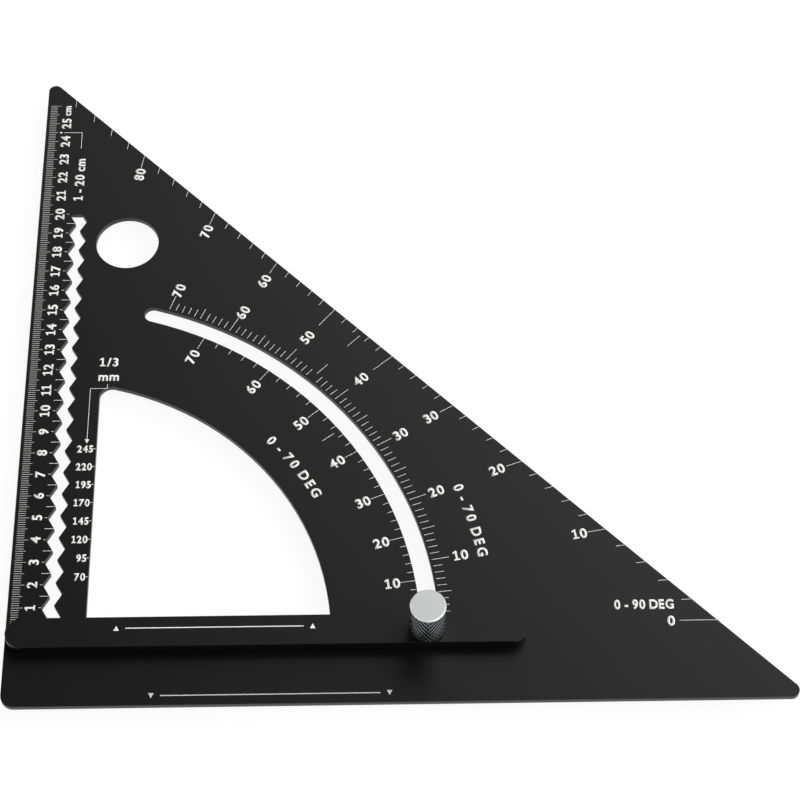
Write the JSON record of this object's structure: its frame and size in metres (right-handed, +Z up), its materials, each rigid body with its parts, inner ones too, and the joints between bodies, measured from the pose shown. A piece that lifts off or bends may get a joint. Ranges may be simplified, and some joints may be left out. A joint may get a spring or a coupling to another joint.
{
  "type": "rafter square",
  "caption": "Flat triangular rafter square with a swinging double fence bar, arc slot, knurled clamp knob, notched scribing slot, hang hole and printed angle scales.",
  "frame": {"origin": "on the rear fence's outer face, the plane that the square lies on, under the middle of the blade's bounding box", "axes": "+Z up out of the scale side of the blade, +X along the base edge away from the square corner, +Y along the ruler edge"},
  "size_m": [0.3034, 0.3034, 0.0317],
  "materials": {
    "anodised_black": "matt black anodised",
    "turned_alloy": "bare, turned and diamond knurled",
    "zinc_steel": "zinc plated",
    "nylon": "natural nylon"
  },
  "bodies": {
    "blade": {"blade": "anodised_black"},
    "fence": {"front_fence": "anodised_black", "rear_fence": "anodised_black", "pivot_bush": "zinc_steel", "pivot_screw": "zinc_steel", "pivot_washer_front": "nylon", "pivot_washer_rear": "nylon", "clamp_bolt": "zinc_steel", "clamp_washer_front": "nylon", "clamp_washer_rear": "nylon"},
    "washer": {"knob_washer": "zinc_steel"},
    "knob": {"clamp_knob": "turned_alloy"}
  },
  "joints": [
    {"name": "fence_swing", "type": "hinge", "parent": "blade", "child": "fence", "pos_m": [-0.14485, -0.12325, 0.0065], "axis": [0, 0, 1], "range_deg": [0, 73]},
    {"name": "knob_turn", "type": "hinge", "parent": "fence", "child": "washer", "pos_m": [0.01055, -0.12325, 0.0134], "axis": [0, 0, 1], "range_deg": [0, 3600]},
    {"name": "knob_rise", "type": "slide", "parent": "washer", "child": "knob", "axis": [0, 0, 1], "range_m": [0, 0.007]}
  ],
  "couplings": [
    {"joint": "knob_turn", "follows": "knob_rise", "rad_per_m": 8976}
  ]
}
